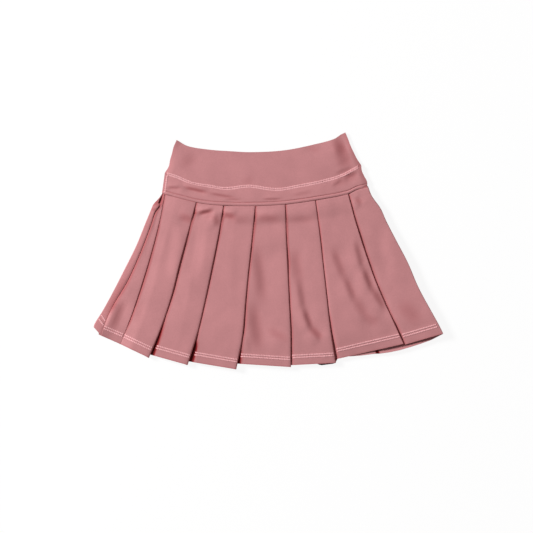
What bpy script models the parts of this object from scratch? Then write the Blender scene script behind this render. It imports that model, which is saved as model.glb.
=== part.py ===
# Pleated knit skort laid flat, front face up.
# Metres. +X runs to the viewer's right, +Y towards the waist and +Z up from the surface that it lies on.

import math
from collections import namedtuple

import bmesh
import bpy

# Cloth walls, and the clear space kept between plies and at seams.
UPPER_BAND_WALL = 0.0016
LOWER_BAND_WALL = 0.0012
KNIT_WALL = 0.0010
CLEARANCE = 0.0003
SEAM_CLEARANCE = 0.0004
PLY_PITCH = KNIT_WALL + CLEARANCE

# The cross seams and edges: both ends, and how far the middle sags below the chord.
Edge = namedtuple("Edge", "left_x left_y right_x right_y sag")
TOP_EDGE = Edge(-0.1676, 0.2013, 0.1396, 0.2145, 0.0295)
BAND_SEAM = Edge(-0.1866, 0.1398, 0.1651, 0.1505, 0.0300)
PLEAT_SEAM = Edge(-0.1929, 0.1059, 0.1778, 0.1152, 0.0285)
BACK_HEM = Edge(-0.3190, -0.1385, 0.3167, -0.1525, 0.0665)
WAIST_HOLLOW = 0.0040

# The lines that run down the skirt: where each leaves the pleat seam and where it meets the hem,
# with bow as its sideways swing half way down.
Line = namedtuple("Line", "seam_x hem_x hem_y bow")
LEFT_SIDE = Line(-0.2005, -0.3190, -0.1385, 0.0074)
FRONT_START = Line(-0.1975, -0.3054, -0.1543, 0.0052)
RIGHT_SIDE = Line(0.1797, 0.3167, -0.1503, -0.0017)

# The front's knife pleats, left to right. hem_y is the fold's corner and next_y the hem of the panel
# that comes out from under it; the depths are how far the cloth turns back under the fold.
Fold = namedtuple("Fold", "name seam_x hem_x hem_y next_y bow seam_depth hem_depth")
FRONT_FOLDS = (
    Fold("A", -0.1885, -0.2705, -0.1702, -0.1702, 0.0085, 0.0045, 0.016),
    Fold("B", -0.1345, -0.2184, -0.1949, -0.1885, 0.0064, 0.0330, 0.032),
    Fold("C", -0.0826, -0.1480, -0.2077, -0.2013, 0.0028, 0.0340, 0.026),
    Fold("D", -0.0249, -0.0595, -0.2160, -0.2055, 0.0000, 0.0350, 0.018),
    Fold("E", 0.0293, 0.0400, -0.2119, -0.2084, 0.0000, 0.0340, 0.014),
    Fold("F", 0.0848, 0.1218, -0.2042, -0.1969, -0.0016, 0.0340, 0.020),
    Fold("G", 0.1436, 0.2455, -0.1694, -0.1729, -0.0095, 0.0360, 0.012),
)

# The back's pleats turn the other way in this view. They are evenly spaced between a first fold beside
# the right side and a last one beside the left, and bow outwards by a share of their distance across.
BACK_PLEATS = 6
BACK_FIRST_SEAM_REACH = 0.062
BACK_FIRST_HEM_REACH = 0.075
BACK_LAST_SEAM_REACH = 0.030
BACK_LAST_HEM_REACH = 0.055
BACK_SEAM_DEPTH = 0.034
BACK_HEM_DEPTH = 0.020
BACK_BOW_SHARE = -0.022

# Heights of the plies' middle surfaces, and how the plies come together: both sides slope down over
# SIDE_SLOPE, and a panel has climbed to the top KNEE_LEAD before the fold inside its pleat.
PLY_STEP_SEAM = PLY_PITCH
PLY_STEP_HEM = 0.0018
BACK_OUTER_LEVEL = KNIT_WALL / 2
SIDE_SLOPE = 0.020
KNEE_LEAD = 0.002
WRAP_UNDER_FRONT = 0.012
WRAP_TUCK = 0.0015

# The inner shorts: the legs' outer and inner reach from the centre line, row by row down the skirt.
ShortsRow = namedtuple("ShortsRow", "fall outer inner")
SHORTS_CENTRE_SEAM_X = -0.0105
SHORTS_CENTRE_HEM_X = 0.0000
SHORTS_TOP_HALF_WIDTH = 0.1500
SHORTS_ROWS = (
    ShortsRow(0.00, 0.1640, 0.0),
    ShortsRow(0.14, 0.1720, 0.0),
    ShortsRow(0.28, 0.1800, 0.0),
    ShortsRow(0.43, 0.1870, 0.0),
    ShortsRow(0.58, 0.1920, 0.0),
    ShortsRow(0.66, 0.1940, 0.0060),
    ShortsRow(0.75, 0.1950, 0.0100),
    ShortsRow(0.83, 0.1950, 0.0130),
)
SHORTS_COLUMNS = 6

# Below the shorts the front comes down onto the back between these shares of the skirt's fall.
LET_DOWN_START = 0.88
LET_DOWN_END = 1.00

# Divisions of the cloth grids.
BAND_COLUMNS = 14
BAND_ROWS = 4
SLOPE_STEPS = 4
SKIRT_ROWS = 12

KNIT_COLOUR = (0.515, 0.223, 0.231, 1.0)
KNIT_ROUGHNESS = 0.85


def mix(start, end, share):
    return start + (end - start) * share


def bulge(share):
    return 4 * share * (1 - share)


def ease(share):
    return math.sin(math.pi / 2 * min(max(share, 0.0), 1.0))


def edge_height(edge, along):
    return mix(edge.left_y, edge.right_y, along) - edge.sag * bulge(along)


def edge_height_at(edge, x):
    return edge_height(edge, (x - edge.left_x) / (edge.right_x - edge.left_x))


def line_x(line, fall):
    return mix(line.seam_x, line.hem_x, fall) + line.bow * bulge(fall)


def ply_step(fall):
    return mix(PLY_STEP_SEAM, PLY_STEP_HEM, fall)


def back_level(fall, ply):
    return BACK_OUTER_LEVEL + ply * ply_step(fall)


def shorts_level(fall, ply):
    return back_level(fall, 2) + PLY_PITCH * (1 + ply)


def middle_front_level(fall):
    # The front lies on the shorts, and below their hem it comes down onto the back.
    let_down = max(fall - LET_DOWN_START, 0.0) / (LET_DOWN_END - LET_DOWN_START)
    return shorts_level(fall, 2) - 2 * PLY_PITCH * let_down


def front_level(x, fall):
    # Towards both sides the front slopes down onto the back; on the left the back's own cloth lies between.
    from_left = x - line_x(LEFT_SIDE, fall)
    from_right = line_x(RIGHT_SIDE, fall) - x
    plies_below = 2 if from_left < from_right else 1
    edge_level = BACK_OUTER_LEVEL + plies_below * PLY_PITCH
    rise = ease(min(from_left, from_right) / SIDE_SLOPE)
    return mix(edge_level, middle_front_level(fall), rise)


def add_cloth(name, wall, columns, rows, place):
    # A grid of cloth, laid out by place(column, row) with row 0 at its lower edge.
    sheet = bmesh.new()
    bmesh.ops.create_grid(sheet, x_segments=columns, y_segments=rows, size=0.5)
    for vertex in sheet.verts:
        column = round((vertex.co.x + 0.5) * columns)
        row = round((vertex.co.y + 0.5) * rows)
        vertex.co = place(column, row)
    mesh = bpy.data.meshes.new(name)
    sheet.to_mesh(mesh)
    sheet.free()
    piece = bpy.data.objects.new(name, mesh)
    skort.objects.link(piece)
    shell = piece.modifiers.new("Wall", "SOLIDIFY")
    shell.thickness = wall
    shell.offset = 0.0
    shell.use_even_offset = True
    mesh.materials.append(knit_material(name))


def knit_material(name):
    material = bpy.data.materials.new(name)
    material.use_nodes = True
    finish = material.node_tree.nodes["Principled BSDF"]
    finish.inputs["Base Color"].default_value = KNIT_COLOUR
    finish.inputs["Roughness"].default_value = KNIT_ROUGHNESS
    finish.inputs["Metallic"].default_value = 0.0
    return material


def band_stations(width):
    # Distances across a band, closer together on the slopes at its two sides.
    slope = [SIDE_SLOPE * step / SLOPE_STEPS for step in range(SLOPE_STEPS)]
    inner_steps = BAND_COLUMNS - 2 * SLOPE_STEPS
    inner_width = width - 2 * SIDE_SLOPE
    inner = [SIDE_SLOPE + inner_width * step / inner_steps for step in range(inner_steps + 1)]
    return slope + inner + [width - reach for reach in reversed(slope)]


def add_band(name, wall, upper, lower, hollow, top_gap, edge_level, middle_levels):
    # middle_levels are the heights of the band's middle at its lower and upper edge.
    def place(column, row):
        up = row / BAND_ROWS
        left = mix(lower.left_x, upper.left_x, up) + hollow * bulge(up)
        right = mix(lower.right_x, upper.right_x, up) - hollow * bulge(up)
        reach = band_stations(right - left)[column]
        along = reach / (right - left)
        y = mix(edge_height(lower, along), edge_height(upper, along) - top_gap, up)
        middle = mix(middle_levels[0], middle_levels[1], up)
        rise = ease(min(reach, right - left - reach) / SIDE_SLOPE)
        return (left + reach, y, mix(edge_level, middle, rise))

    add_cloth(name, wall, BAND_COLUMNS, BAND_ROWS, place)


def add_bands():
    upper_back = UPPER_BAND_WALL / 2
    lower_back = LOWER_BAND_WALL / 2
    upper_front = UPPER_BAND_WALL + CLEARANCE + upper_back
    lower_front_edge = LOWER_BAND_WALL + CLEARANCE + lower_back
    lower_front_top = LOWER_BAND_WALL + 2 * PLY_PITCH + CLEARANCE + lower_back
    lower_front_bottom = middle_front_level(0) + 2 * ply_step(0)
    upper_front_bottom = lower_front_top + (LOWER_BAND_WALL - UPPER_BAND_WALL) / 2
    add_band("upper_band_back", UPPER_BAND_WALL, TOP_EDGE, BAND_SEAM, WAIST_HOLLOW, 0.0,
             upper_back, (upper_back, upper_back))
    add_band("upper_band_front", UPPER_BAND_WALL, TOP_EDGE, BAND_SEAM, WAIST_HOLLOW, 0.0,
             upper_front, (upper_front_bottom, upper_front))
    add_band("lower_band_back", LOWER_BAND_WALL, BAND_SEAM, PLEAT_SEAM, 0.0, SEAM_CLEARANCE,
             lower_back, (lower_back, lower_back))
    add_band("lower_band_front", LOWER_BAND_WALL, BAND_SEAM, PLEAT_SEAM, 0.0, SEAM_CLEARANCE,
             lower_front_edge, (lower_front_bottom, lower_front_top))


def skirt_point(line, fall, height):
    x = line_x(line, fall)
    seam_y = edge_height_at(PLEAT_SEAM, line.seam_x) - SEAM_CLEARANCE
    return (x, mix(seam_y, line.hem_y, fall), height)


def beside(line, seam_shift, hem_shift, hem_y):
    return Line(line.seam_x + seam_shift, line.hem_x + hem_shift, hem_y, line.bow)


def front_lines():
    # The front's section, left to right: each line with the ply that it runs on, 0 below and 2 on top.
    lines = [(FRONT_START, 0)]
    panel_start = FRONT_START
    for index, fold in enumerate(FRONT_FOLDS):
        edge = Line(fold.seam_x, fold.hem_x, fold.hem_y, fold.bow)
        follower = FRONT_FOLDS[index + 1] if index + 1 < len(FRONT_FOLDS) else RIGHT_SIDE
        hem_slope = (follower.hem_y - fold.next_y) / (follower.hem_x - fold.hem_x)
        inner_y = fold.next_y - hem_slope * fold.hem_depth
        inner = beside(edge, -fold.seam_depth, -fold.hem_depth, inner_y)
        knee_x = fold.hem_x - fold.hem_depth - KNEE_LEAD
        knee_share = (knee_x - panel_start.hem_x) / (fold.hem_x - panel_start.hem_x)
        knee_y = mix(panel_start.hem_y, fold.hem_y, knee_share)
        knee = beside(inner, -KNEE_LEAD, -KNEE_LEAD, knee_y)
        panel_start = beside(edge, 0.0, 0.0, fold.next_y)
        lines += [(knee, 2), (edge, 2), (edge, 1), (inner, 1), (inner, 0), (panel_start, 0)]
    last_slope = (RIGHT_SIDE.hem_y - panel_start.hem_y) / (RIGHT_SIDE.hem_x - panel_start.hem_x)
    for step in range(SLOPE_STEPS, -1, -1):
        reach = SIDE_SLOPE * step / SLOPE_STEPS
        lines.append((beside(RIGHT_SIDE, -reach, -reach, RIGHT_SIDE.hem_y - last_slope * reach), 0))
    return lines


def add_front_skirt():
    lines = front_lines()

    def place(column, row):
        fall = 1 - row / SKIRT_ROWS
        line, ply = lines[column]
        height = front_level(line_x(line, fall), fall) + ply * ply_step(fall)
        return skirt_point(line, fall, height)

    add_cloth("front_skirt", KNIT_WALL, len(lines) - 1, SKIRT_ROWS, place)


def back_line(seam_x, hem_x):
    return Line(seam_x, hem_x, edge_height_at(BACK_HEM, hem_x), BACK_BOW_SHARE * hem_x)


def back_lines():
    # The back's section, right to left, with ply 0 on the ground and 2 uppermost.
    first_seam = RIGHT_SIDE.seam_x - BACK_FIRST_SEAM_REACH
    first_hem = RIGHT_SIDE.hem_x - BACK_FIRST_HEM_REACH
    last_seam = LEFT_SIDE.seam_x + BACK_LAST_SEAM_REACH
    last_hem = LEFT_SIDE.hem_x + BACK_LAST_HEM_REACH
    lines = [(beside(RIGHT_SIDE, 0.0, 0.0, BACK_HEM.right_y), 0)]
    for pleat in range(BACK_PLEATS):
        share = pleat / (BACK_PLEATS - 1)
        edge = back_line(mix(first_seam, last_seam, share), mix(first_hem, last_hem, share))
        inner = back_line(edge.seam_x + BACK_SEAM_DEPTH, edge.hem_x + BACK_HEM_DEPTH)
        lines += [(inner, 0), (edge, 0), (edge, 1), (inner, 1), (inner, 2), (edge, 2)]
    lines.append((beside(LEFT_SIDE, KNEE_LEAD, KNEE_LEAD, LEFT_SIDE.hem_y - KNEE_LEAD), 0))
    lines.append((LEFT_SIDE, 0))
    return lines


def wrap_lines():
    # Where the back's side turns up over the left edge and runs on under the first front panel.
    lines = []
    for step in range(SLOPE_STEPS):
        share = step / (SLOPE_STEPS - 1)
        lines.append(Line(*(mix(a, b, share) for a, b in zip(LEFT_SIDE, FRONT_START))))
    first = FRONT_FOLDS[0]
    hem_slope = (first.hem_y - FRONT_START.hem_y) / (first.hem_x - FRONT_START.hem_x)
    end_y = FRONT_START.hem_y + hem_slope * WRAP_UNDER_FRONT + WRAP_TUCK
    lines.append(beside(FRONT_START, WRAP_UNDER_FRONT, WRAP_UNDER_FRONT, end_y))
    return lines


def add_back_skirt():
    ground = back_lines()
    wrap = wrap_lines()

    def place(column, row):
        fall = 1 - row / SKIRT_ROWS
        if column < len(ground):
            line, ply = ground[column]
            return skirt_point(line, fall, back_level(fall, ply))
        line = wrap[column - len(ground)]
        return skirt_point(line, fall, front_level(line_x(line, fall), fall) - PLY_PITCH)

    add_cloth("back_skirt", KNIT_WALL, len(ground) + len(wrap) - 1, SKIRT_ROWS, place)


def add_shorts_leg(name, side):
    # side is -1 for the left leg and 1 for the right. The leg runs from its front centre out to the
    # folded outer side and back along the lower ply.
    plies = 2 * (SHORTS_COLUMNS + 1)
    rows = len(SHORTS_ROWS)

    def place(column, row):
        ply = 1 if column <= SHORTS_COLUMNS else 0
        across = column if ply else plies - 1 - column
        share = across / SHORTS_COLUMNS
        if row == rows:
            outer = SHORTS_TOP_HALF_WIDTH
            x = SHORTS_CENTRE_SEAM_X + side * mix(CLEARANCE / 2, outer, share)
            top_level = LOWER_BAND_WALL + CLEARANCE + KNIT_WALL / 2 + ply * PLY_PITCH
            return (x, edge_height_at(BAND_SEAM, x) - SEAM_CLEARANCE, top_level)
        station = SHORTS_ROWS[rows - 1 - row]
        centre = mix(SHORTS_CENTRE_SEAM_X, SHORTS_CENTRE_HEM_X, station.fall)
        x = centre + side * mix(station.inner + CLEARANCE / 2, station.outer, share)
        y = mix(edge_height_at(PLEAT_SEAM, x), edge_height_at(BACK_HEM, x), station.fall)
        return (x, y, shorts_level(station.fall, ply))

    add_cloth(name, KNIT_WALL, plies - 1, rows, place)


for leftover in list(bpy.data.objects):
    bpy.data.objects.remove(leftover)
skort = bpy.data.collections.new("skort")
bpy.context.scene.collection.children.link(skort)

add_bands()
add_front_skirt()
add_back_skirt()
add_shorts_leg("shorts_leg_left", -1)
add_shorts_leg("shorts_leg_right", 1)
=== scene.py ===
# Pleated knit skort laid flat, front up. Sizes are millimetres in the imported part's own frame.
import math
from bisect import bisect_right

import bmesh
import bpy
from mathutils import Matrix, Vector, noise


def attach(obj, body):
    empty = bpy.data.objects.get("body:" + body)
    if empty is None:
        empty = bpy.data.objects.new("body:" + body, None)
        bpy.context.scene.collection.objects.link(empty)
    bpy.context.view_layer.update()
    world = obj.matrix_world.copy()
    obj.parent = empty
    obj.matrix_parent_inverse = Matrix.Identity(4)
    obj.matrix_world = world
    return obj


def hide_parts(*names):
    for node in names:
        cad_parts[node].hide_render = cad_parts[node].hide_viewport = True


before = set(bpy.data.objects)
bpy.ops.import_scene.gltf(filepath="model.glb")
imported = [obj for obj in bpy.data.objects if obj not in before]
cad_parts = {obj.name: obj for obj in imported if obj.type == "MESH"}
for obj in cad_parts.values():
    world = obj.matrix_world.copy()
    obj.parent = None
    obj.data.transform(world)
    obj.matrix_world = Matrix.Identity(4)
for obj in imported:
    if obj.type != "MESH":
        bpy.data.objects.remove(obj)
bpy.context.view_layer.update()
mm = 0.001


def mix(start, end, share):
    return start + (end - start) * share


def clamp(share):
    return min(max(share, 0.0), 1.0)


def ease(share):
    share = clamp(share)
    return share * share * (3 - 2 * share)


def climb(share):
    return math.sin(math.pi / 2 * clamp(share))


def bell(share):  # 1 in the middle, 0 from one width away
    share = min(abs(share), 1.0)
    return (1 - share * share) ** 2


def straight(*points):  # straight runs through (place, value) points
    places = [place for place, value in points]

    def value(at):
        i = min(max(bisect_right(places, at) - 1, 0), len(points) - 2)
        (x0, y0), (x1, y1) = points[i], points[i + 1]
        return mix(y0, y1, clamp((at - x0) / (x1 - x0)))

    return value


def through(*points):  # a smooth curve through (place, value) points, straight past its ends
    places = [place for place, value in points]
    slopes = []
    for i in range(len(points)):
        before = points[max(i - 1, 0)]
        after = points[min(i + 1, len(points) - 1)]
        slopes.append((after[1] - before[1]) / (after[0] - before[0]))

    def value(at):
        if at <= places[0]:
            return points[0][1] + slopes[0] * (at - places[0])
        if at >= places[-1]:
            return points[-1][1] + slopes[-1] * (at - places[-1])
        i = bisect_right(places, at) - 1
        (x0, y0), (x1, y1) = points[i], points[i + 1]
        run = x1 - x0
        t = (at - x0) / run
        bend = slopes[i] * run * t * (1 - t) ** 2 - slopes[i + 1] * run * t * t * (1 - t)
        return mix(y0, y1, ease(t)) + bend

    return value


def evenly(*values):
    return through(*((i / (len(values) - 1), value) for i, value in enumerate(values)))


def addSocket(group, name, kind, way, value=None):
    socket = group.interface.new_socket(name=name, in_out=way, socket_type=kind)
    if value is not None:
        socket.default_value = value


def makeKnitGroup():
    # fine jersey: wales along the cloth, a soft mottle, painted shade deep in a fold and painted red bounce
    # light on its side
    group = bpy.data.node_groups.new("jerseyKnit", "ShaderNodeTree")
    addSocket(group, "Dye", "NodeSocketColor", "INPUT", (0.5, 0.2, 0.2, 1))
    addSocket(group, "DeepShade", "NodeSocketColor", "INPUT", (0.1, 0.01, 0.02, 1))
    addSocket(group, "Glow", "NodeSocketColor", "INPUT", (0.6, 0.2, 0.2, 1))
    addSocket(group, "Mottle", "NodeSocketFloat", "INPUT", 0.06)
    addSocket(group, "Relief", "NodeSocketFloat", "INPUT", 0.2)
    addSocket(group, "Color", "NodeSocketColor", "OUTPUT")
    addSocket(group, "Roughness", "NodeSocketFloat", "OUTPUT")
    addSocket(group, "Normal", "NodeSocketVector", "OUTPUT")
    nodes, links = group.nodes, group.links
    given = nodes.new("NodeGroupInput")
    result = nodes.new("NodeGroupOutput")
    place = nodes.new("ShaderNodeTexCoord")

    cloud = nodes.new("ShaderNodeTexNoise")
    cloud.inputs["Scale"].default_value = 24.0
    cloud.inputs["Detail"].default_value = 5.0
    links.new(place.outputs["Object"], cloud.inputs["Vector"])
    fleck = nodes.new("ShaderNodeTexNoise")
    fleck.inputs["Scale"].default_value = 420.0
    fleck.inputs["Detail"].default_value = 2.0
    links.new(place.outputs["Object"], fleck.inputs["Vector"])
    blend = nodes.new("ShaderNodeMath")
    blend.operation = "MULTIPLY_ADD"
    blend.inputs[1].default_value = 0.6
    links.new(fleck.outputs["Fac"], blend.inputs[0])
    links.new(cloud.outputs["Fac"], blend.inputs[2])
    centred = nodes.new("ShaderNodeMath")
    centred.operation = "SUBTRACT"
    centred.inputs[1].default_value = 0.8
    links.new(blend.outputs[0], centred.inputs[0])
    swing = nodes.new("ShaderNodeMath")
    swing.operation = "MULTIPLY_ADD"
    swing.inputs[2].default_value = 1.0
    links.new(centred.outputs[0], swing.inputs[0])
    links.new(given.outputs["Mottle"], swing.inputs[1])
    dyed = nodes.new("ShaderNodeVectorMath")
    dyed.operation = "SCALE"
    links.new(given.outputs["Dye"], dyed.inputs[0])
    links.new(swing.outputs[0], dyed.inputs["Scale"])
    shade = nodes.new("ShaderNodeAttribute")
    shade.attribute_name = "paintedShade"
    # painted light: -1 is painted red bounce light on a fold's side from the cloth beside it; 0.5 is painted
    # shade inside the fold, 1 a hollow painted dark
    side = nodes.new("ShaderNodeMapRange")
    side.inputs["From Max"].default_value = -1.0
    links.new(shade.outputs["Fac"], side.inputs["Value"])
    glowing = nodes.new("ShaderNodeMix")
    glowing.data_type = "RGBA"
    links.new(side.outputs["Result"], glowing.inputs["Factor"])
    links.new(dyed.outputs[0], glowing.inputs["A"])
    links.new(given.outputs["Glow"], glowing.inputs["B"])
    fold = nodes.new("ShaderNodeMapRange")
    fold.inputs["From Max"].default_value = 0.5
    links.new(shade.outputs["Fac"], fold.inputs["Value"])
    hollow = nodes.new("ShaderNodeMapRange")
    hollow.inputs["From Min"].default_value = 0.3
    hollow.inputs["To Min"].default_value = 1.0
    hollow.inputs["To Max"].default_value = 0.12
    links.new(shade.outputs["Fac"], hollow.inputs["Value"])
    shaded = nodes.new("ShaderNodeMix")
    shaded.data_type = "RGBA"
    links.new(fold.outputs["Result"], shaded.inputs["Factor"])
    links.new(glowing.outputs["Result"], shaded.inputs["A"])
    links.new(given.outputs["DeepShade"], shaded.inputs["B"])
    dimmed = nodes.new("ShaderNodeVectorMath")
    dimmed.operation = "SCALE"
    links.new(shaded.outputs["Result"], dimmed.inputs[0])
    links.new(hollow.outputs["Result"], dimmed.inputs["Scale"])
    links.new(dimmed.outputs[0], result.inputs["Color"])

    rough = nodes.new("ShaderNodeMapRange")
    rough.inputs["To Min"].default_value = 0.72
    rough.inputs["To Max"].default_value = 0.92
    links.new(cloud.outputs["Fac"], rough.inputs["Value"])
    links.new(rough.outputs["Result"], result.inputs["Roughness"])

    wales = nodes.new("ShaderNodeTexWave")  # one wale every 0.8 mm
    wales.wave_type = "BANDS"
    wales.bands_direction = "X"
    wales.inputs["Scale"].default_value = 0.39
    wales.inputs["Distortion"].default_value = 1.2
    wales.inputs["Detail"].default_value = 1.0
    wales.inputs["Detail Scale"].default_value = 1.4
    links.new(place.outputs["UV"], wales.inputs["Vector"])
    loops = nodes.new("ShaderNodeMath")
    loops.operation = "ADD"
    links.new(wales.outputs["Fac"], loops.inputs[0])
    links.new(fleck.outputs["Fac"], loops.inputs[1])
    bump = nodes.new("ShaderNodeBump")
    bump.inputs["Distance"].default_value = 0.15 * mm
    links.new(given.outputs["Relief"], bump.inputs["Strength"])
    links.new(loops.outputs[0], bump.inputs["Height"])
    links.new(bump.outputs["Normal"], result.inputs["Normal"])
    return group


knitGroup = makeKnitGroup()
deepShadeTint = (0.58, 0.09, 0.10)  # the dye's share left in the painted shade deep in a fold
# the dye lifted by painted red bounce light on the side of a fold and on lit edges
glowTint = (1.3, 0.95, 0.95)


def tinted(dye, tint):
    return (*(tone * share for tone, share in zip(dye, tint)), 1)


def knitMaterial(name, dye, mottle, relief, sheen):
    material = bpy.data.materials.new(name)
    material.use_nodes = True
    nodes, links = material.node_tree.nodes, material.node_tree.links
    shader = nodes["Principled BSDF"]
    knit = nodes.new("ShaderNodeGroup")
    knit.node_tree = knitGroup
    knit.inputs["Dye"].default_value = (*dye, 1)
    knit.inputs["DeepShade"].default_value = tinted(dye, deepShadeTint)
    knit.inputs["Glow"].default_value = tinted(dye, glowTint)
    knit.inputs["Mottle"].default_value = mottle
    knit.inputs["Relief"].default_value = relief
    shader.inputs["Specular IOR Level"].default_value = 0.08
    shader.inputs["Sheen Weight"].default_value = sheen
    shader.inputs["Sheen Roughness"].default_value = 0.4
    shader.inputs["Sheen Tint"].default_value = (1.0, 0.80, 0.81, 1)
    links.new(knit.outputs["Color"], shader.inputs["Base Color"])
    links.new(knit.outputs["Roughness"], shader.inputs["Roughness"])
    links.new(knit.outputs["Normal"], shader.inputs["Normal"])
    return material


def threadMaterial():
    material = bpy.data.materials.new("thread")
    material.use_nodes = True
    nodes, links = material.node_tree.nodes, material.node_tree.links
    shader = nodes["Principled BSDF"]
    place = nodes.new("ShaderNodeTexCoord")
    twist = nodes.new("ShaderNodeTexNoise")
    twist.inputs["Scale"].default_value = 200.0
    twist.inputs["Detail"].default_value = 6.0
    links.new(place.outputs["Object"], twist.inputs["Vector"])
    tones = nodes.new("ShaderNodeMix")
    tones.data_type = "RGBA"
    tones.inputs["A"].default_value = (0.60, 0.28, 0.292, 1)
    tones.inputs["B"].default_value = (0.90, 0.48, 0.495, 1)
    links.new(twist.outputs["Fac"], tones.inputs["Factor"])
    links.new(tones.outputs["Result"], shader.inputs["Base Color"])
    shader.inputs["Roughness"].default_value = 0.7
    shader.inputs["Specular IOR Level"].default_value = 0.1
    return material


dyes = {"skirt": (0.514, 0.227, 0.235), "shorts": (0.49, 0.21, 0.22)}
skirtKnit = knitMaterial("skirtKnit", dyes["skirt"], 0.26, 0.25, 0.03)
bandKnit = knitMaterial("bandKnit", dyes["skirt"], 0.26, 0.25, 0.03)
shortsKnit = knitMaterial("shortsKnit", dyes["shorts"], 0.12, 0.3, 0.03)
thread = threadMaterial()
print("finishes made")


def addCloth(name, rows, material, wall):
    # rows run up the cloth, each a list of (x, y, z, painted shade) from left to right
    columns = len(rows[0])
    sheet = bmesh.new()
    uvLayer = sheet.loops.layers.uv.new("UVMap")
    shadeLayer = sheet.verts.layers.float.new("paintedShade")
    bmesh.ops.create_grid(sheet, x_segments=columns - 1, y_segments=len(rows) - 1, size=0.5)
    across, up = [0.0], [0.0]
    middle = rows[len(rows) // 2]
    for a, b in zip(middle, middle[1:]):
        across.append(across[-1] + math.dist(a[:3], b[:3]))
    for a, b in zip(rows, rows[1:]):
        up.append(up[-1] + math.dist(a[columns // 2][:3], b[columns // 2][:3]))
    cells = {}
    for vertex in sheet.verts:
        column = round((vertex.co.x + 0.5) * (columns - 1))
        row = round((vertex.co.y + 0.5) * (len(rows) - 1))
        x, y, z, shade = rows[row][column]
        vertex.co = (x * mm, y * mm, z * mm)
        vertex[shadeLayer] = shade
        cells[vertex] = (across[column], up[row])
    for face in sheet.faces:
        face.smooth = True
        for loop in face.loops:
            loop[uvLayer].uv = cells[loop.vert]
    mesh = bpy.data.meshes.new(name)
    sheet.to_mesh(mesh)
    sheet.free()
    mesh.materials.append(material)
    piece = bpy.data.objects.new(name, mesh)
    bpy.context.scene.collection.objects.link(piece)
    shell = piece.modifiers.new("wall", "SOLIDIFY")
    shell.thickness = wall * mm
    shell.offset = 0.0
    return piece


def settle(piece):
    # fixes the wall's thickness in the mesh and keeps its rims crisp
    shown = piece.evaluated_get(bpy.context.evaluated_depsgraph_get())
    mesh = bpy.data.meshes.new_from_object(shown)
    mesh.set_sharp_from_angle(angle=math.radians(60))
    piece.modifiers.clear()
    piece.data = mesh


lampWay = (-0.92, 0.38)  # over the floor, towards the lamp
creaseShades = (0.02, 0.06)  # painted shade for each millimetre of depth, across the lamp's way and along it


def furrow(x, y, creases):
    # soft creases: across each line the cloth drops away from the lamp and comes back slowly, with painted
    # shade along each crease
    depth = shade = 0.0
    for startX, startY, endX, endY, halfWidth, deep in creases:
        runX, runY = endX - startX, endY - startY
        length = math.hypot(runX, runY)
        along = ((x - startX) * runX + (y - startY) * runY) / length
        across = ((x - startX) * runY - (y - startY) * runX) / length / halfWidth
        if lampWay[1] * runX - lampWay[0] * runY < 0:
            across = -across
        tone = mix(*creaseShades, (lampWay[0] * runX + lampWay[1] * runY) ** 2 / length ** 2)
        if abs(across) < 4 and -halfWidth < along < length + halfWidth:
            taperRun = halfWidth + length * 0.35
            taper = ease((along + halfWidth) / taperRun) * ease((length + halfWidth - along) / taperRun)
            depth += deep * taper * bell(across / 4) * (ease((across + 1) / 2) - 0.5)
            shade += tone * deep * taper * bell((across - 0.2) / 1.5)
    return depth, shade


def ripple(x, y, seed):  # broad waves some 80 mm across and fine ones of some 28 mm
    broad = noise.noise(Vector((x / 70, y / 90, seed)))
    fine = noise.noise(Vector((x / 22, y / 34, seed + 5)))
    return 0.9 * broad + 0.34 * fine


seams = {  # seams and hems, as y at x
    "top": through((-167.6, 201.3), (-148.5, 190.7), (-111, 184.2), (-72, 181.2), (-30, 179.4),
                   (29.5, 183), (89, 195), (118.5, 203.4), (131, 211.6), (138.5, 215)),
    "cover": through((-189, 141), (-167, 134), (-138, 122), (-108, 117.2), (-78, 112.8), (-36, 117.2),
                     (2, 112), (22, 111.6), (58, 118), (98, 126.1), (134, 137.2), (167, 155)),
    "pleat": through((-194.4, 105), (-165.4, 97), (-123, 86.8), (-80.6, 82.8), (-25.7, 82.2), (29.3, 85),
                     (84, 92.5), (141, 103.2), (161, 112), (178.5, 115.8)),
    "backHem": straight((-319, -138.5), (-290, -149), (-250, -165), (-180, -186), (-100, -201), (-30, -204),
                        (40, -204.5), (89, -205), (92, -209.2), (121, -205.2), (124, -192), (146, -192.3),
                        (166, -191), (193, -187.5), (200, -187.5), (219, -185), (238, -181), (260, -174.5),
                        (277, -169), (295, -162.5), (316.5, -151.5)),
}
sides = {  # the skirt's outline, as x at the share of the way from seam to hem
    "left": through((0, -193.7), (0.037, -200.2), (0.082, -210), (0.126, -214.8), (0.216, -223.9),
                    (0.394, -241.5), (0.57, -262.8), (0.75, -285.2), (0.885, -303.4), (0.974, -317),
                    (1, -319)),
    "right": through((0, 180), (0.069, 187.5), (0.151, 203), (0.234, 213), (0.357, 229.9), (0.522, 253),
                     (0.687, 272), (0.852, 295.8), (0.934, 308.1), (1, 317)),
}
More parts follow.
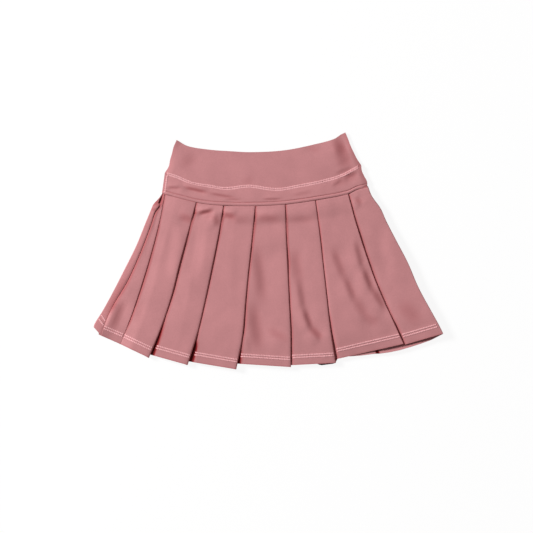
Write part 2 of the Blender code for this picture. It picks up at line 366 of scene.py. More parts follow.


# Creases run from x, y to x, y and end with their half width and depth, which also sets their painted shade.
upperBand = {
    "low": "cover", "high": "top", "wall": 1.5, "columns": 118, "rows": 24,
    "left": evenly(-189.3, -182, -179.5, -176, -173, -167.6),
    "right": evenly(167.4, 159.5, 153.5, 148, 143.5, 138.5),
    "front": evenly(7.6, 7.4, 6.7, 5.7, 4.6), "frontEdge": 4.4, "leftEdge": 6.2,
    "back": evenly(0.8, 0.8), "backEdge": 0.8,
    "creases": (
        (119, 206, 131, 178, 10, 2.0), (126, 196, 138, 152, 14, 3.4), (67, 191, 92, 182, 5, 0.9),
        (120, 140.5, 153, 152.5, 3, 1.4), (-44, 126, -32, 131, 9, 0.9), (-160, 158, -135, 172, 10, 0.8),
        (-150, 186, -152, 150, 12, 0.6),
    ),
}
lowerBand = {
    "low": "pleat", "high": "cover", "wall": 1.1, "columns": 128, "rows": 34,
    "left": evenly(-194.4, -192.6, -191, -189.3), "right": evenly(178.5, 178, 172.9, 168.6, 167.4),
    "front": evenly(9.4, 9.3, 8.8, 7.8), "frontEdge": 7.2, "leftEdge": 8.0,
    "back": evenly(0.6, 0.6), "backEdge": 0.6,
    "creases": (
        (-157, 117, -109, 106, 3.6, 3.4), (-112, 106, -58, 96, 3.2, 2.2), (116, 119, 131, 128, 4, 1.2),
        (-186, 116, -160, 115, 3.2, 1.8), (-12, 94.5, 24, 94.5, 2.4, 1.6), (-80, 94, -50, 93, 2.2, 1.2),
        (138, 135, 159, 143, 5, 2.2), (40, 101, 80, 108, 4, 0.8), (118, 124, 160, 140, 9, 1.5),
    ),
    # the raised seam over the pleats and the groove above it, by their distance from the seam line, with
    # painted shade in the groove
    "ridge": 0.9, "ridgeAt": 2.4, "ridgeReach": 3.4, "groove": 1.1, "grooveAt": 5.4, "grooveReach": 1.5,
    "grooveShade": 0.1, "grooveShadeReach": 1.2,
}
# leftShade is painted shade at the band's left side, rightShade painted red light along its right side
bandSide = {"fall": 10, "inset": 0.4, "low": 2.0, "leftShade": 0.05, "rightShade": -0.4}
bandWaves = {"front": 0.5, "back": 0.3}


def bandSpot(band, along, up):
    low, high = seams[band["low"]], seams[band["high"]]
    left, right = band["left"], band["right"]
    x = mix(left(up), right(up), along)
    y = mix(low(mix(left(0), right(0), along)), high(mix(left(1), right(1), along)), up)
    return x, y, right(up) - left(up)


def bandHeight(band, face, along, up):
    x, y, width = bandSpot(band, along, up)
    lift = climb(min(along, 1 - along) * width / bandSide["fall"])
    edge = band["leftEdge" if along < 0.5 and face == "front" else face + "Edge"]
    height = mix(edge, band[face](up), lift)
    if face == "back":
        return x, y, height + bandWaves["back"] * lift * (1 + ripple(x, y, 17)), 0.0
    depth, shade = furrow(x, y, band["creases"])
    height += lift * (bandWaves["front"] * ripple(x, y, 3) - depth)
    if "ridge" in band:
        reach = y - seams["pleat"](x)
        height += lift * band["ridge"] * bell((reach - band["ridgeAt"]) / band["ridgeReach"])
        height -= lift * band["groove"] * bell((reach - band["grooveAt"]) / band["grooveReach"])
        shade += band["grooveShade"] * bell((reach - band["grooveAt"]) / band["grooveShadeReach"])
    shade += bandSide["leftShade" if along < 0.5 else "rightShade"] * (1 - lift)
    return x, y, height, shade


def turnedDown(spot):
    # at each side the front turns down to the back
    x, y, height, shade = spot
    inset = math.copysign(bandSide["inset"], -x)
    return [(x + inset, y, mix(height, bandSide["low"], share), shade) for share in (0.5, 1.0)]


def addBand(name, band, face, material):
    rows = []
    for row in range(band["rows"] + 1):
        up = row / band["rows"]
        if "ridge" in band:
            up = mix(up, up * up, 0.7)  # closer rows at the ridge
        spots = []
        for column in range(band["columns"] + 1):
            along = mix(column / band["columns"], ease(column / band["columns"]), 0.5)
            spots.append(bandHeight(band, face, along, up))
        if face == "front":
            spots = turnedDown(spots[0])[::-1] + spots + turnedDown(spots[-1])
        rows.append(spots)
    return addCloth(name, rows, material, band["wall"])


upperFront = addBand("upperBandFront", upperBand, "front", bandKnit)
upperBack = addBand("upperBandBack", upperBand, "back", bandKnit)
lowerFront = addBand("lowerBandFront", lowerBand, "front", bandKnit)
lowerBack = addBand("lowerBandBack", lowerBand, "back", bandKnit)
print("waistband made")


# Knife pleats from the left. A drop is the share of the way from seam to hem. x runs down the fold at even
# drops; corner and next are the y of the fold's corner and of the next panel's hem beside it; under is the
# turn-back at seam and hem; high is the fold's height over the cloth below it at the hem, seamHigh at the
# seam; slot is the width of its opening down the drop, also painted in shade; lean lowers the next panel's
# shoulder; soft is how slowly that panel rises out of the slot; round rounds the fold's edge; flat is where
# it is pressed flat.
pleats = (
    {"x": evenly(-188.6, -199.9, -214.4, -230.9, -249, -270.5), "corner": -170.2, "next": -170.2,
     "under": (1.5, 16), "high": 2.8, "lean": 0.4, "flat": 0.87, "seamHigh": 1.4,
     "slot": straight((0, 0.3), (0.2, 0.4), (0.34, 1.5), (0.5, 2.3), (0.62, 2.2), (0.72, 1.5),
                      (0.82, 0.9), (0.9, 0.3), (0.96, 0.0))},
    {"x": evenly(-132, -147, -162.5, -176.6, -195.2, -218.4), "corner": -194.9, "next": -188.6,
     "under": (33, 32), "high": 6, "lean": 0.36, "soft": 1.3,
     "slot": straight((0, 0.4), (0.04, 1.0), (0.075, 3.6), (0.11, 2.4), (0.16, 2.0), (0.3, 2.4),
                      (0.6, 3.0), (0.74, 2.4), (0.84, 4.2), (0.94, 6.0), (1, 7))},
    {"x": evenly(-82.4, -92.3, -104, -116, -129.7, -148), "corner": -208, "next": -201.3,
     "under": (34, 26), "high": 7, "lean": 0.2, "soft": 1.3,
     "slot": straight((0, 0.7), (0.035, 1.1), (0.065, 3.2), (0.1, 2.6), (0.14, 2.2), (0.3, 1.9),
                      (0.62, 1.7), (0.72, 1.7), (0.8, 1.6), (0.86, 3.2), (0.92, 7.0), (1, 8))},
    {"x": evenly(-24.9, -30.6, -37, -42.6, -47.9, -59.5), "corner": -216, "next": -205.5,
     "under": (35, 18), "high": 7,
     "slot": straight((0, 0.8), (0.04, 1.4), (0.07, 2.8), (0.11, 2.7), (0.16, 2.3), (0.26, 2.2),
                      (0.5, 1.5), (0.7, 2.1), (0.8, 2.6), (0.85, 2.0), (0.91, 3.2), (1, 6))},
    {"x": evenly(29.3, 31.4, 34.2, 37.1, 39.9, 40), "corner": -211.8, "next": -208.4,
     "under": (34, 14), "high": 6,
     "slot": straight((0, 0.7), (0.05, 1.2), (0.09, 2.0), (0.24, 1.7), (0.36, 2.7), (0.46, 0.9),
                      (0.66, 1.2), (0.81, 1.7), (0.88, 1.5), (1, 1.6))},
    {"x": evenly(84, 91.9, 98.7, 105.4, 112.3, 121.8), "corner": -204.2, "next": -197.6,
     "under": (34, 20), "high": 5.5, "lean": -0.16, "soft": 1.8, "seamHigh": 2.4,
     "slot": straight((0, 0.4), (0.16, 0.6), (0.26, 0.7), (0.4, 0.4), (0.7, 0.3), (0.78, 0.7),
                      (0.88, 1.4), (0.95, 2.0), (1, 2.2))},
    {"x": evenly(143.6, 158.4, 176, 195.9, 220.3, 245.5), "corner": -169.4, "next": -171.5,
     "under": (36, 12), "high": 6, "lean": 0.24, "soft": 1.6, "round": -0.06,
     "slot": straight((0, 0.7), (0.12, 1.2), (0.26, 1.9), (0.39, 1.7), (0.6, 1.4), (0.71, 1.3),
                      (0.79, 0.5), (0.88, 2.2), (1, 1.8))},
)
firstEdge = {  # the strip's folded edge, which the first panel comes out from under
    "x": through((0, -192.9), (0.06, -196.6), (0.095, -201.1), (0.132, -207.8), (0.22, -215.1),
                 (0.41, -233.9), (0.606, -256.8), (0.763, -280.5), (0.92, -298.7), (1, -305.4)),
    "corner": -154.7, "next": -154.7, "high": 2.8,
    "slot": straight((0, 1.0), (0.07, 2.6), (0.12, 3.0), (0.18, 1.8), (0.4, 1.9), (0.5, 1.7),
                     (0.62, 2.0), (0.7, 2.2), (0.8, 0.6), (0.86, 0.0)),
}
slotShade = {  # how far the painted shade of a slot reaches, how softly it ends and how dark it gets
    "least": 1.6, "softest": 2.8, "tail": 1.7, "openAt": 0.6,
    "narrowShade": 0.29, "addedShade": 0.53, "wideFrom": 3.5, "wideRun": 2.4,
}
frontSkirt = {
    "wall": 0.8, "rows": 116, "columnEvery": 3.3, "seamHigh": 2.6, "shoulder": 0.66, "hemCorner": -150.6,
    "base": through((0, 7.0), (0.5, 7.5), (0.83, 7.5), (1, 4.4)), "leftEdge": 6.2, "rightEdge": 1.8,
    "leftFall": 16, "rightFall": 1.5, "rightRound": 1.5, "tuck": 1.1, "tuckReach": 3.0, "lap": 1.4,
    # hemShade is painted shade along the hem's edge
    "hemTurn": 20.5, "hemWall": 0.4, "hemTurnRun": 2, "hemShade": 0.12, "hemShadeReach": 2.5,
    "crease": 0.22, "creaseFrom": 1.4, "creaseRun": 1.2,  # painted shade along the seam under the band
    "pressed": 0.85, "pressedRun": 0.1, "leanAt": 0.3, "leanReach": 0.45, "lastRise": 1.6,
    "turnTop": 0.84, "turnRatio": 4.5, "edgeRound": 0.16, "edgeReach": 5.0,
    "riseFrom": 0.15, "riseSoft": 1.2, "knee": 0.93, "loft": 1.6, "leastTuck": 0.4,
    # the first panel's part that is hidden under the strip, painted in shade, with a gap just below the band
    # painted dark
    "hiddenSpan": 5.0, "hiddenShare": 0.7, "hiddenShade": 0.3, "rimShade": 0.15, "gapShade": 1.0,
    "gapDrop": 0.1,
    "creases": (
        (-130, 68.5, -102, 74.5, 4.4, 5.0), (-118, 58, -104, 66, 5, 1.2), (-160, 64, -138, 56, 8, 2.2),
        (-86, 66.5, -62, 64, 6, 3.4), (-99, 62, -94, 48, 7, 3.0), (-22, 61, 20, 59, 8, 1.8),
        (36, 58, 82, 59, 8, 1.0), (-72, 59, -36, 58, 8, 1.0), (-26, 10, -14, -97, 11, 2.6),
        (-33, -96, -22, -182, 12, 3.2), (0, -146, 32, -163, 8, 1.3), (-40, -158, -35, -182, 4, 0.8),
        (42, 0, 53, -60, 11, 2.4), (52, -52, 63, -112, 7, 2.6), (62, -106, 77, -146, 6, 4.1),
        (77, -143, 93, -160, 7, 3.2),
        (114, 4, 137, -54, 8, 2.4), (137, -48, 155, -92, 7, 2.8), (155, -88, 175, -122, 9, 1.8),
        (156, 18, 170, -36, 6, 2.6), (170, -32, 188, -76, 6, 3.8), (187, -70, 211, -107, 6.5, 2.8),
        (-267, -88, -289, -148, 8, 5.0), (-236, -90, -243, -124, 9, 1.2),
        (-164, 56, -182, -56, 12, -2.4), (-118, 56, -134, -56, 12, -2.8), (206, 34, 226, -46, 14, -2.6),
        (158, 93, 166, 86, 6, 2.0), (240, -100, 268, -130, 14, 1.6), (176, -120, 196, -128, 9, 1.2),
    ),
    "sag": through((-200, 0.2), (-130, 0.4), (-80, 1.1), (0, 1.9), (60, 1.3), (140, 0.7), (190, 0.3)),
}


def frontBase(x, drop):
    fromLeft = x - firstEdge["x"](drop)
    fromRight = sides["right"](drop) - x
    middle = frontSkirt["base"](drop)
    if fromLeft < fromRight:
        return mix(frontSkirt["leftEdge"], middle, climb(fromLeft / frontSkirt["leftFall"]))
    return mix(frontSkirt["rightEdge"], middle, climb(fromRight / frontSkirt["rightFall"]))


def foldHigh(fold, drop):
    high = mix(fold.get("seamHigh", frontSkirt["seamHigh"]), fold["high"], drop)
    if "flat" in fold:  # pressed flat near the hem
        high *= 1 - frontSkirt["pressed"] * ease((drop - fold["flat"]) / frontSkirt["pressedRun"])
    return high


def shoulderHigh(fold, drop):
    # how high the next panel stands just past the fold's slot
    if fold is firstEdge:
        return fold["high"]
    leaning = bell((drop - frontSkirt["leanAt"]) / frontSkirt["leanReach"])
    return (frontSkirt["shoulder"] - fold.get("lean", 0) * leaning) * foldHigh(fold, drop)


def drape(x, y, reach):
    # what the cloth's own waves add to a panel, with the painted shade of its creases; reach is the
    # distance below the pleat seam, where it swells at about 18 mm and then sags until 90 mm
    depth, shade = furrow(x, y, frontSkirt["creases"])
    swell = bell((reach - 18) / 20)
    hollow = ease((reach - 16) / 22) * ease((90 - reach) / 60)
    wave = ripple(x, y, 11) - depth + frontSkirt["sag"](x) * (swell - hollow)
    return wave * ease(reach / 12), shade


sideShade, insideShade = -1.0, 0.5  # painted red bounce light on a fold's side, painted shade inside it


def leftFold(index):  # the fold that panel index comes out from under
    return pleats[index - 1] if index else firstEdge


def panelEnd(index, drop):
    return sides["right"](drop) if index == len(pleats) else pleats[index]["x"](drop)


def panelWidth(index, drop):
    return panelEnd(index, drop) - leftFold(index)["x"](drop)


def panelSpot(index, offset, drop):
    # a place on panel index, offset millimetres right of its left fold, with the painted shade of the slot
    left = leftFold(index)
    last = index == len(pleats)
    width = panelWidth(index, drop)
    share = offset / width
    hemY = mix(left["next"], frontSkirt["hemCorner"] if last else pleats[index]["corner"], share)
    slot = left["slot"](drop) + frontSkirt["wall"] / 2
    opened = ease((offset / slot - frontSkirt["riseFrom"]) / left.get("soft", frontSkirt["riseSoft"]))
    start = shoulderHigh(left, drop)
    if last:
        high = mix(start, frontSkirt["lastRise"] * foldHigh(left, drop), share)
        edge = high * (1 - climb((width - offset) / frontSkirt["rightRound"]))
    else:
        fold = pleats[index]
        top = foldHigh(fold, drop)
        under = mix(*fold["under"], drop)
        knee = clamp(1 - (under + 2) / width)
        high = mix(start, top * frontSkirt["knee"], clamp(share / max(knee, 0.2)))
        high = mix(high, top, ease((share - knee) / max(1 - knee, 0.1)))
        rounding = (1 - clamp((width - offset) / frontSkirt["edgeReach"])) ** 2
        edge = fold.get("round", frontSkirt["edgeRound"]) * top * rounding
    # painted shade in the slot: full near the fold, fading over the panel's rise, darker in a wide slot
    reach = max(slot, slotShade["least"])
    soft = min(reach, slotShade["softest"])
    shade = ease((reach + slotShade["tail"] * soft - offset) / (2.0 * soft))
    shade *= clamp(left["slot"](drop) / slotShade["openAt"])
    wide = clamp((slot - slotShade["wideFrom"]) / slotShade["wideRun"])
    shade *= slotShade["narrowShade"] + slotShade["addedShade"] * wide
    return left["x"](drop) + offset, hemY, (high - edge) * opened, shade


def frontLayout(drop):
    # the section across the front at one drop, left to right: x, y of its hem, height over the base, painted
    # shade
    spots = []
    stripX = firstEdge["x"](drop)
    hidden = min(frontSkirt["hiddenSpan"], frontSkirt["hiddenShare"] * (stripX - sides["left"](drop)))
    # painted shade on the hidden part, and the gap just below the band painted dark
    rim, gap = frontSkirt["rimShade"], frontSkirt["gapShade"]
    for back, shade in ((hidden, rim), (0.8 * hidden, rim), (0.72 * hidden, gap), (0.3, gap)):
        if drop >= frontSkirt["gapDrop"]:
            shade = frontSkirt["hiddenShade"]
        spots.append((stripX - back, firstEdge["next"] + back * 0.5, 0.0, shade))
    for index in range(len(pleats) + 1):
        left = leftFold(index)
        last = index == len(pleats)
        startX = left["x"](drop)
        endX = panelEnd(index, drop)
        top = 0.0 if last else foldHigh(pleats[index], drop) * frontSkirt["turnTop"]
        radius = top / frontSkirt["turnRatio"]
        edgeX = endX - frontSkirt["wall"] / 2
        slot = left["slot"](drop) + frontSkirt["wall"] / 2
        for share in (0.0, 0.4, 0.75, 1.1, 1.5):
            spots.append(panelSpot(index, slot * share, drop))
        count = round((panelWidth(index, 1) + panelWidth(index, 0)) / 2 / frontSkirt["columnEvery"])
        for step in range(1, count + 1):
            reach = mix(slot * 1.5, (endX if last else edgeX - radius - 0.6) - startX, step / count)
            spots.append(panelSpot(index, reach, drop))
        if last:
            spots[-1:] = [panelSpot(index, endX - startX - inward, drop) for inward in (1.5, 0.7, 0)]
            continue
        spots.append(panelSpot(index, edgeX - radius - startX, drop))
        fold = pleats[index]
        under = max(mix(*fold["under"], drop), 2.5 * radius)
        cornerY = fold["corner"]
        hemRise = (cornerY - left["next"]) / panelWidth(index, 1)
        for angle in (60, 30, 0, -30, -60, -90):
            turn = math.radians(angle)
            shade = sideShade if angle > -60 else 0.0
            spots.append((edgeX - radius + radius * math.cos(turn), cornerY,
                          top * 0.75 + top * 0.25 * math.sin(turn), shade))
        innerY = cornerY - hemRise * (fold["under"][1] - 2) + 1.5
        for share in (0.33, 0.66, 1.0):
            x = mix(endX - radius, endX - under + radius, share)
            spots.append((x, mix(cornerY, innerY, share), top * 0.5, insideShade))
        for angle in (45, 0, -45, -90):
            turn = math.radians(angle)
            spots.append((endX - under + radius - radius * math.cos(turn), innerY,
                          top * 0.25 + top * 0.25 * math.sin(turn), insideShade))
        for share in (0.33, 0.66):
            x = mix(endX - under + radius, endX, share)
            spots.append((x, mix(innerY, fold["next"], share), 0.0, insideShade))
    return spots


def frontSpot(x, hemY, high, drop, seamX):
    # sets a spot of the section on the cloth; the lower it lies, the less it waves, and painted shade darkens
    # it along the hem's edge
    seamY = seams["pleat"](seamX)
    y = mix(seamY + frontSkirt["lap"], hemY, drop)
    reach = seamY - y
    toHem = y - hemY
    loft = clamp(frontSkirt["loft"] * high / foldHigh(pleats[2], drop))
    z = frontBase(x, drop) + high
    wave, shade = drape(x, y, reach)
    z += loft * wave
    tucked = frontSkirt["tuck"] * ease(1 - reach / frontSkirt["tuckReach"])
    z -= max(loft, frontSkirt["leastTuck"]) * tucked
    z += loft * frontSkirt["hemWall"] * ease((frontSkirt["hemTurn"] - toHem) / frontSkirt["hemTurnRun"])
    shade += frontSkirt["hemShade"] * clamp(1 - toHem / frontSkirt["hemShadeReach"])
    return x, y, z, shade


def dropRows(count):
    # closer together at the pleat seam
    near = (0.0, 0.004, 0.007, 0.011, 0.016, 0.022)
    steps = count - len(near)
    shares = [step / steps for step in range(steps + 1)]
    return [*near, *(mix(0.03, 1.0, share * mix(0.7, 1.0, share)) for share in shares)]


def addFrontSkirt():
    atSeam = frontLayout(0)
    rows = []
    for drop in reversed(dropRows(frontSkirt["rows"])):
        spots = []
        for (x, hemY, high, shade), (seamX, *rest) in zip(frontLayout(drop), atSeam):
            x, y, z, soft = frontSpot(x, hemY, high, drop, seamX)
            # painted shade along the seam under the band; painted bounce light on a fold's side stays,
            # elsewhere the darkest painted shade is kept
            above = frontSkirt["creaseFrom"] - seams["pleat"](seamX) + y
            crease = frontSkirt["crease"] * ease(above / frontSkirt["creaseRun"])
            spots.append((x, y, z, shade if shade < 0 else max(shade, crease, soft)))
        rows.append(spots)
    return addCloth("frontSkirt", rows, skirtKnit, frontSkirt["wall"])


frontPiece = addFrontSkirt()
print("front skirt made")


backSkirt = {  # with the strip that comes round the left side
    "wall": 0.8, "rows": 70, "pleats": 6, "under": (34, 20), "firstReach": (62, 118), "lastReach": (30, 55),
    "ground": 0.5, "waves": 0.25, "step": (1.3, 1.2), "bow": -22, "stepWidth": 5.0, "seamGap": 0.4,
    "rightInset": (1, 0.5), "leftInset": (1, 1), "roll": 1.2, "nextGap": (4, 5),
    # where the hem shows below the front at the right, it curls up and has painted shade in its openings
    "curl": 7.0, "curlFrom": 0.955, "curlRun": 0.045, "curlX": 80, "curlXRun": 60,
    "peekFrom": 0.9, "peekRun": 0.04,
    "peekShade": straight((88, 0), (90, 0.9), (121, 0.9), (123, 0), (195.5, 0), (196.5, 1), (200, 1),
                          (201, 0), (316, 0.06)),
    # the strip stands over the first front panel, which comes out from under it
    "stripHigh": 8.7, "stripEdge": 7.2, "stripRise": 9, "stripRound": 0.7, "stripTop": -194.0,
    # turnShade, tone, dusk and stripShade are painted shade; glow is painted red bounce light on the strip's
    # edge
    "stripHem": -139.0, "stripGround": 0.8, "turnIn": 1.2, "turnShade": 0.4, "turnHeights": (1.0, 5.5),
    "glow": -0.6, "glowEnd": 0.76, "glowRun": 0.08,
    "tone": 0.05, "dusk": 0.13, "duskAt": 0.74, "duskReach": 0.22,
    "stripLift": straight((0, 0.25), (0.06, 0.3), (0.09, 1.2), (0.12, 1.12), (0.16, 1.0)),
    "stripShade": straight((0, 0.2), (0.08, 0.2), (0.09, 0.1), (0.105, 0.0), (0.115, 0.2), (0.13, 0.0)),
}


def backColumns():
    # right to left along the ground: each column as x at the seam, x at the hem and its ply
    data = backSkirt
    right = [sides["right"](i) - data["rightInset"][i] for i in (0, 1)]
    left = [sides["left"](i) + data["leftInset"][i] for i in (0, 1)]
    first = [right[i] - data["firstReach"][i] for i in (0, 1)]
    final = [left[i] + data["lastReach"][i] for i in (0, 1)]
    columns = []

    def run(start, end, ply):
        count = max(round(abs(start[1] - end[1]) / data["stepWidth"]), 2)
        for step in range(count):
            columns.append((mix(start[0], end[0], step / count), mix(start[1], end[1], step / count), ply))

    place = right
    for pleat in range(data["pleats"]):
        share = pleat / (data["pleats"] - 1)
        edge = [mix(first[i], final[i], share) for i in (0, 1)]
        inner = [edge[i] + data["under"][i] for i in (0, 1)]
        run(place, edge, 0)
        columns.append((edge[0], edge[1], 0.5))
        run(edge, inner, 1)
        columns.append((inner[0], inner[1], 1.5))
        run(inner, edge, 2)
        place = edge
        columns.append((edge[0] - data["roll"], edge[1] - data["roll"], 1.7))
        place = [edge[i] - data["nextGap"][i] for i in (0, 1)]
    run(place, left, 0)
    columns.append((left[0], left[1], 0))
    return columns


def stripSpot(share, drop):
    # across the strip, from the skirt's left outline to its folded edge, which has painted red bounce light
    # from the lit cloth beside it down to glowEnd; dusk is the soft painted shade around duskAt
    data = backSkirt
    leftX, edgeX = sides["left"](drop), firstEdge["x"](drop)
    width = edgeX - leftX
    seamY = seams["pleat"](data["stripTop"]) - data["seamGap"]
    y = mix(seamY, mix(data["stripHem"], firstEdge["corner"], share), drop)
    rise = climb(share * max(width, 3) / data["stripRise"])
    high = mix(data["stripEdge"], data["stripHigh"], rise)
    high -= data["stripRound"] * clamp((share - 0.8) / 0.2) ** 2
    glow = data["glow"] * clamp((share - 0.9) / 0.1) * ease((data["glowEnd"] - drop) / data["glowRun"])
    shade = data["stripShade"](drop) or glow
    dusk = data["dusk"] * bell((drop - data["duskAt"]) / data["duskReach"])
    shade += data["tone"] + dusk * ease(share / 0.8)
    return leftX + width * share, y, mix(data["stripGround"], high, data["stripLift"](drop)), shade


def addBackSkirt():
    data = backSkirt
    ground = backColumns()
    rows = []
    for drop in reversed(dropRows(data["rows"])):
        spots = []
        step = mix(*data["step"], drop)
        for seamX, hemX, ply in ground:
            x = mix(seamX, hemX, drop) + data["bow"] * hemX * mm * 4 * drop * (1 - drop)
            y = mix(seams["pleat"](seamX) - data["seamGap"], seams["backHem"](hemX), drop)
            curl = data["curl"] * ease((drop - data["curlFrom"]) / data["curlRun"])
            curl *= ease((hemX - data["curlX"]) / data["curlXRun"])
            curl *= 1 - ply / 3
            shade = data["peekShade"](hemX) * ease((drop - data["peekFrom"]) / data["peekRun"])
            wave = data["waves"] * (1.2 + ripple(x, y, 23)) * ease((drop - 0.02) / 0.1)
            spots.append((x, y, data["ground"] + wave + ply * step + curl, shade))
        turnX = sides["left"](drop) + data["turnIn"]
        spots[-1] = (turnX, spots[-1][1], data["ground"], data["turnShade"])
        for high in data["turnHeights"]:
            x, y, z, shade = stripSpot(0.0, drop)
            spots.append((x, y, mix(0.6, high, data["stripLift"](drop)), shade))
        for share in (0.03, 0.07, 0.14, 0.25, 0.4, 0.6, 0.78, 0.9, 1.0):
            spots.append(stripSpot(share, drop))
        rows.append(spots)
    return addCloth("backSkirt", rows, skirtKnit, data["wall"])


backPiece = addBackSkirt()
print("back skirt made")


shorts = {
    "wall": 0.9, "columns": 26, "centreSeam": -10.5, "topHalf": 150, "waistHalf": 164, "step": 1.3,
    "level": (3.1, 4.1), "topLevel": 1.5, "topGap": 0.8, "topPinch": 0.6,
    "outer": straight((0, 164), (0.14, 172), (0.28, 180), (0.43, 187), (0.58, 192), (0.66, 194), (0.83, 195)),
    "inner": straight((0, 0.3), (0.58, 0.3), (0.66, 6), (0.75, 10), (0.83, 13)),
    "topRows": 4, "rows": 36, "length": 0.83,
}


def addShortsLeg(name, side):
    data = shorts
    plies = [(column / data["columns"], 1) for column in range(data["columns"] + 1)]
    plies += [(1 - column / data["columns"], 0) for column in range(data["columns"] + 1)]
    if side < 0:
        plies.reverse()
    rows = []
    for row in range(data["rows"] + 1):
        drop = data["length"] * (1 - row / data["rows"])
        spots = []
        for share, ply in plies:
            centre = mix(data["centreSeam"], 0.0, drop)
            x = centre + side * mix(data["inner"](drop), data["outer"](drop), share)
            y = mix(seams["pleat"](x), seams["backHem"](x), drop)
            level = mix(*data["level"], drop) + data["step"] * (1 + ply)
            spots.append((x, y, level, 0.0))
        rows.append(spots)
    for row in range(1, data["topRows"] + 1):
        up = row / data["topRows"]
        spots = []
        for share, ply in plies:
            outer = mix(data["waistHalf"], data["topHalf"], up)
            x = data["centreSeam"] + side * mix(data["inner"](0), outer, share)
            y = mix(seams["pleat"](x), seams["cover"](x) - data["topGap"], up)
            level = mix(data["level"][0], data["topLevel"], up) + data["step"] * (1 + ply)
            level -= up * data["step"] * data["topPinch"]
            spots.append((x, y, level, 0.0))
        rows.append(spots)
    return addCloth(name, rows, shortsKnit, data["wall"])


leftLeg = addShortsLeg("shortsLegLeft", -1)
rightLeg = addShortsLeg("shortsLegRight", 1)
print("shorts made")


stitching = {
    "pitch": 3.3, "length": 4.6, "width": 3.4, "height": 0.6, "proud": 0.2, "batch": 40,
    # rows are distances from the hem or the seam, ends are shares along it, runs are its lengths
    "hemRows": (13.4, 17.6), "hemStart": 0.6, "hemStop": 1.0, "hemSlack": 1.06, "hemDrop": 0.95,
    "stripRows": (17.5, 25), "stripEnds": (0.12, 0.95), "stripRun": 17, "stripDrop": 258,
    "waistRows": (-1.6, 1.6), "waistEnds": (0.012, 0.988), "waistRun": 368,
    "sideAlong": 0.013, "sideEnds": (0.04, 0.94), "sideRun": 28,
}


def addStitch(threads, start, end):
    # one rounded stitch lying between two points
    run = end - start
    ahead = run.normalized()
    aside = Vector((0, 0, 1)).cross(ahead).normalized()
    up = ahead.cross(aside)
    turn = Matrix((ahead, aside, up)).transposed().to_4x4()
    halfWidth, halfHeight = stitching["width"] / 2, stitching["height"] / 2
    size = Matrix.Diagonal((run.length / 2 * mm, halfWidth * mm, halfHeight * mm, 1))
    bmesh.ops.create_uvsphere(threads, u_segments=6, v_segments=4, radius=1,
                              matrix=Matrix.Translation((start + end) / 2 * mm) @ turn @ size)


def sewRows(tracks, length):
    # tracks are functions of a share along the seam, one for each row of stitches
    count = max(round(length / stitching["pitch"]), 1)
    half = stitching["length"] / length / 2
    stitches = []
    for number in range(count):
        at = (number + 0.5) / count
        for track in tracks:
            stitches.append((track(max(at - half, 0)), track(min(at + half, 1))))
    return stitches


def sewPiece(name, stitches):
    joined = bmesh.new()
    for first in range(0, len(stitches), stitching["batch"]):  # small batches keep the operators quick
        threads = bmesh.new()
        for start, end in stitches[first:first + stitching["batch"]]:
            addStitch(threads, Vector(start), Vector(end))
        batch = bpy.data.meshes.new("batch")
        threads.to_mesh(batch)
        threads.free()
        joined.from_mesh(batch)
        bpy.data.meshes.remove(batch)
    for face in joined.faces:
        face.smooth = True
    mesh = bpy.data.meshes.new(name)
    joined.to_mesh(mesh)
    joined.free()
    mesh.materials.append(thread)
    piece = bpy.data.objects.new(name, mesh)
    bpy.context.scene.collection.objects.link(piece)
    return piece


def panelTop(index, offset, fromHem):
    # a point on the outside of a front panel, fromHem millimetres above its hem
    hemWidth = panelWidth(index, 1)
    seamX = panelSpot(index, offset * (panelWidth(index, 0) / hemWidth), 0)[0]
    x, hemY, high, shade = panelSpot(index, offset, 1)
    length = seams["pleat"](seamX) + frontSkirt["lap"] - hemY
    drop = 1 - fromHem / length
    x, hemY, high, shade = panelSpot(index, offset / hemWidth * panelWidth(index, drop), drop)
    x, y, z, soft = frontSpot(x, hemY, high, drop, seamX)
    return x, y, z + frontSkirt["wall"] / 2 + stitching["proud"]


def sewFrontHem():
    stitches = []
    for index in range(len(pleats) + 1):
        start = leftFold(index)["slot"](stitching["hemDrop"]) + stitching["hemStart"]
        end = panelWidth(index, 1) - stitching["hemStop"]

        def track(fromHem, index=index, start=start, end=end):
            return lambda at: panelTop(index, mix(start, end, at), fromHem)

        tracks = [track(fromHem) for fromHem in stitching["hemRows"]]
        stitches += sewRows(tracks, (end - start) * stitching["hemSlack"])
    return sewPiece("frontHemStitches", stitches)


def sewStripHem():
    def track(fromHem):
        def spot(at):
            share = mix(*stitching["stripEnds"], at)
            x, y, z, shade = stripSpot(share, 1 - fromHem / stitching["stripDrop"])
            return x, y, z + backSkirt["wall"] / 2 + stitching["proud"]
        return spot

    tracks = [track(fromHem) for fromHem in stitching["stripRows"]]
    return sewPiece("stripHemStitches", sewRows(tracks, stitching["stripRun"]))


def sewWaist():
    def track(aside):
        def spot(at):
            band, up = (upperBand, 0.0) if aside > 0 else (lowerBand, 1.0)
            x, y, height, shade = bandHeight(band, "front", mix(*stitching["waistEnds"], at), up)
            return x, y + aside, height + band["wall"] / 2 + stitching["proud"]
        return spot

    def sideSeam(at):  # the seam at the band's left side
        up = mix(*stitching["sideEnds"], at)
        x, y, height, shade = bandHeight(lowerBand, "front", stitching["sideAlong"], up)
        return x, y, height + lowerBand["wall"] / 2 + stitching["proud"]

    stitches = sewRows([track(aside) for aside in stitching["waistRows"]], stitching["waistRun"])
    return sewPiece("waistStitches", stitches + sewRows([sideSeam], stitching["sideRun"]))


hemStitches = sewFrontHem()
stripStitches = sewStripHem()
waistStitches = sewWaist()
print("stitching made")


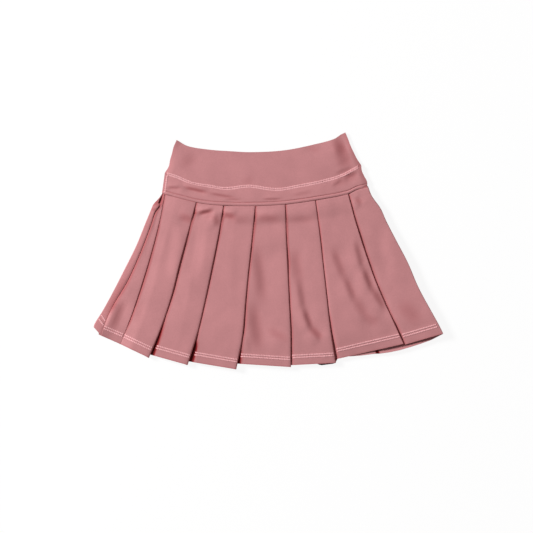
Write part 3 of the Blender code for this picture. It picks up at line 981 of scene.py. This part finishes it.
sheets = (  # each piece with its node, slot, flat size, cut area and what it lies on
    (upperFront, "upper_band_front", "band_knit", (0.357, 0.075), 0.0225, ["upper_band_back"]),
    (upperBack, "upper_band_back", "band_knit", (0.357, 0.075), 0.0225, []),
    (lowerFront, "lower_band_front", "band_knit", (0.375, 0.045), 0.0125, ["lower_band_back"]),
    (lowerBack, "lower_band_back", "band_knit", (0.375, 0.045), 0.0125, []),
    (frontPiece, "front_skirt", "skirt_knit", (0.90, 0.31), 0.255, ["back_skirt"]),
    (backPiece, "back_skirt", "skirt_knit", (0.92, 0.31), 0.26, []),
    (leftLeg, "shorts_leg_left", "shorts_knit", (0.39, 0.30), 0.112, ["back_skirt"]),
    (rightLeg, "shorts_leg_right", "shorts_knit", (0.39, 0.30), 0.112, ["back_skirt"]),
)
for piece, node, slot, flat, area, under in sheets:
    settle(piece)
    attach(piece, "root")
    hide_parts(node)
for piece in (hemStitches, stripStitches, waistStitches):
    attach(piece, "root")


studio = {
    "floorSize": 16.0, "floorDepth": 0.05, "floorTone": 0.1, "floorGlow": 0.9, "worldTone": 0.31,
    "keyPlace": (-4.8, 2.0, 3.15), "keySize": 1.6, "keyPower": 484,
    "centre": (-4.55, -28.8), "viewWidth": 970, "viewLevel": 8, "distance": 6.0, "sensor": 36.0,
}


def addFloor():
    ground = bmesh.new()
    bmesh.ops.create_grid(ground, x_segments=2, y_segments=2, size=studio["floorSize"] / 2)
    mesh = bpy.data.meshes.new("floor")
    ground.to_mesh(mesh)
    ground.free()
    paint = bpy.data.materials.new("floorPaint")
    paint.use_nodes = True
    shader = paint.node_tree.nodes["Principled BSDF"]
    tone = studio["floorTone"]
    shader.inputs["Base Color"].default_value = (tone, tone, tone, 1)
    shader.inputs["Roughness"].default_value = 0.9
    shader.inputs["Specular IOR Level"].default_value = 0.1
    shader.inputs["Emission Color"].default_value = (1, 1, 1, 1)  # a light table, which softens the shadow
    shader.inputs["Emission Strength"].default_value = studio["floorGlow"]
    mesh.materials.append(paint)
    floor = bpy.data.objects.new("floor", mesh)
    floor.location.z = -studio["floorDepth"] * mm
    bpy.context.scene.collection.objects.link(floor)


def addLamp(name, place, size, power):
    lamp = bpy.data.lights.new(name, "AREA")
    lamp.shape = "DISK"
    lamp.size = size
    lamp.energy = power
    holder = bpy.data.objects.new(name, lamp)
    holder.location = place
    holder.rotation_euler = (-Vector(place)).to_track_quat("-Z", "Y").to_euler()
    bpy.context.scene.collection.objects.link(holder)


def addCamera():
    lens = bpy.data.cameras.new("camera")
    lens.sensor_width = studio["sensor"]
    lens.lens = studio["sensor"] * studio["distance"] / (studio["viewWidth"] * mm)
    lens.clip_end = 60
    camera = bpy.data.objects.new("camera", lens)
    centreX, centreY = studio["centre"]
    camera.location = (centreX * mm, centreY * mm, studio["distance"] + studio["viewLevel"] * mm)
    bpy.context.scene.collection.objects.link(camera)
    bpy.context.scene.camera = camera


addFloor()
addLamp("keyLamp", studio["keyPlace"], studio["keySize"], studio["keyPower"])
world = bpy.data.worlds.new("studio")
world.use_nodes = True
world.node_tree.nodes["Background"].inputs["Color"].default_value = (1, 0.95, 0.95, 1)
world.node_tree.nodes["Background"].inputs["Strength"].default_value = studio["worldTone"]
bpy.context.scene.world = world
bpy.context.scene.view_settings.view_transform = "Standard"
addCamera()
print("studio made")
